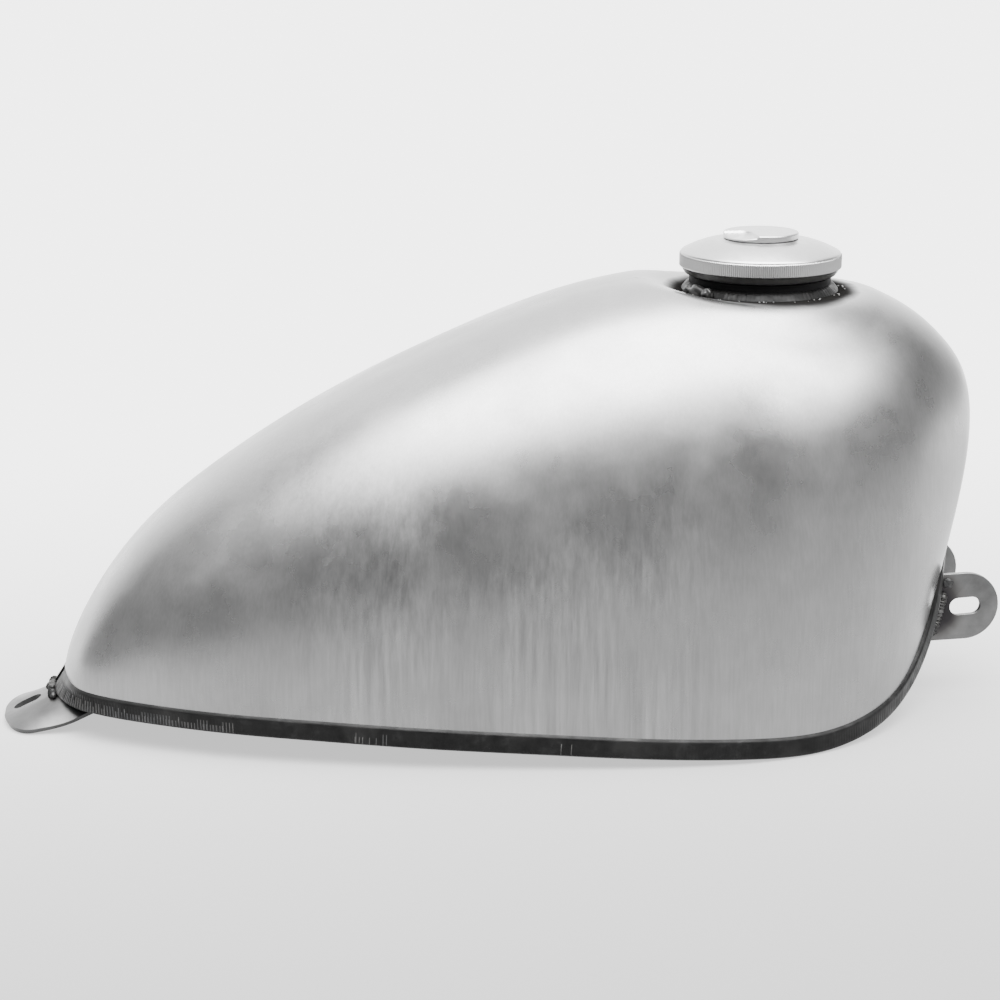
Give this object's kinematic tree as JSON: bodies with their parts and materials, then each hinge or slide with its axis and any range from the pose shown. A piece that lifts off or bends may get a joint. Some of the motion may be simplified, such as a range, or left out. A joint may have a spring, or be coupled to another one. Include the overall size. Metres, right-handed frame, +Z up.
{
  "type": "motorcycle fuel tank",
  "caption": "Small raw-steel custom motorcycle fuel tank with a frame tunnel, slotted mounting tabs, a petcock bung and a screw-in locking filler cap.",
  "frame": {"origin": "middle of the footprint, on the plane that the seam lip and the rear tab rest on", "axes": "+X towards the front of the motorcycle, +Y to its left, +Z up"},
  "size_m": [0.4982, 0.2326, 0.2346],
  "materials": {
    "raw_steel": "bare pressed sheet, hand-brushed satin, mottled",
    "pan_steel": "bare dark mill finish",
    "tab_steel": "bare mill finish with heat tint",
    "weld_steel": "as-welded, dark scale",
    "black_steel": "black, semi-matt",
    "bright_steel": "zinc-bright",
    "cap_aluminium": "bead-blasted satin, turned",
    "lock_brass": "machined",
    "lock_chrome": "polished",
    "gasket_rubber": "moulded matt"
  },
  "bodies": {
    "tank": {"left_shell": "raw_steel", "right_shell": "raw_steel", "top_seam_weld_rear": "raw_steel", "top_seam_weld_front": "raw_steel", "left_belly_pan": "pan_steel", "right_belly_pan": "pan_steel", "frame_tunnel": "pan_steel", "filler_neck": "black_steel", "filler_neck_weld": "weld_steel", "left_front_tab": "tab_steel", "left_front_tab_weld": "weld_steel", "right_front_tab": "tab_steel", "right_front_tab_weld": "weld_steel", "rear_tab": "tab_steel", "rear_tab_weld": "weld_steel", "petcock_bung": "tab_steel", "petcock_bung_weld": "weld_steel"},
    "cap_seal": {"seal_plate": "bright_steel", "cap_gasket": "gasket_rubber"},
    "cap": {"cap_shell": "cap_aluminium", "threaded_insert": "cap_aluminium", "insert_pin_1": "bright_steel", "insert_pin_2": "bright_steel", "insert_pin_3": "bright_steel", "lock_housing": "lock_brass", "housing_clip": "bright_steel", "baffle_plate": "bright_steel", "bolt_guide": "bright_steel", "cover_pivot": "bright_steel", "vent_spring": "bright_steel"},
    "cover": {"swivel_cover": "cap_aluminium"},
    "lock": {"lock_cylinder": "lock_chrome", "lock_cam": "bright_steel", "cam_screw": "bright_steel"},
    "bolt": {"lock_bolt": "bright_steel"},
    "valve": {"vent_valve": "bright_steel"}
  },
  "joints": [
    {"name": "cap_lift", "type": "slide", "parent": "tank", "child": "cap_seal", "axis": [0, 0, 1], "range_m": [0, 0.026]},
    {"name": "cap_turn", "type": "hinge", "parent": "cap_seal", "child": "cap", "pos_m": [0.13, 0, 0.215], "axis": [0, 0, 1], "range_deg": [0, 2340]},
    {"name": "cover_swing", "type": "hinge", "parent": "cap", "child": "cover", "pos_m": [0.1405, 0.0095, 0.2329], "axis": [0, 0, 1], "range_deg": [0, 110]},
    {"name": "lock_turn", "type": "hinge", "parent": "cap", "child": "lock", "pos_m": [0.13, 0, 0.216], "axis": [0, 0, 1], "range_deg": [0, 90]},
    {"name": "bolt_throw", "type": "slide", "parent": "cap", "child": "bolt", "axis": [1, 0, 0], "range_m": [0, 0.004]},
    {"name": "vent_open", "type": "slide", "parent": "cap", "child": "valve", "axis": [0, 0, -1], "range_m": [0, 0.0012], "stiffness_N_per_m": 60, "springref_m": -0.002, "deforming": ["vent_spring"]}
  ],
  "couplings": [
    {"joint": "cap_lift", "follows": "cap_turn", "m_per_rad": 0.00063662},
    {"joint": "bolt_throw", "follows": "lock_turn", "m_per_rad": 0.0025464}
  ]
}
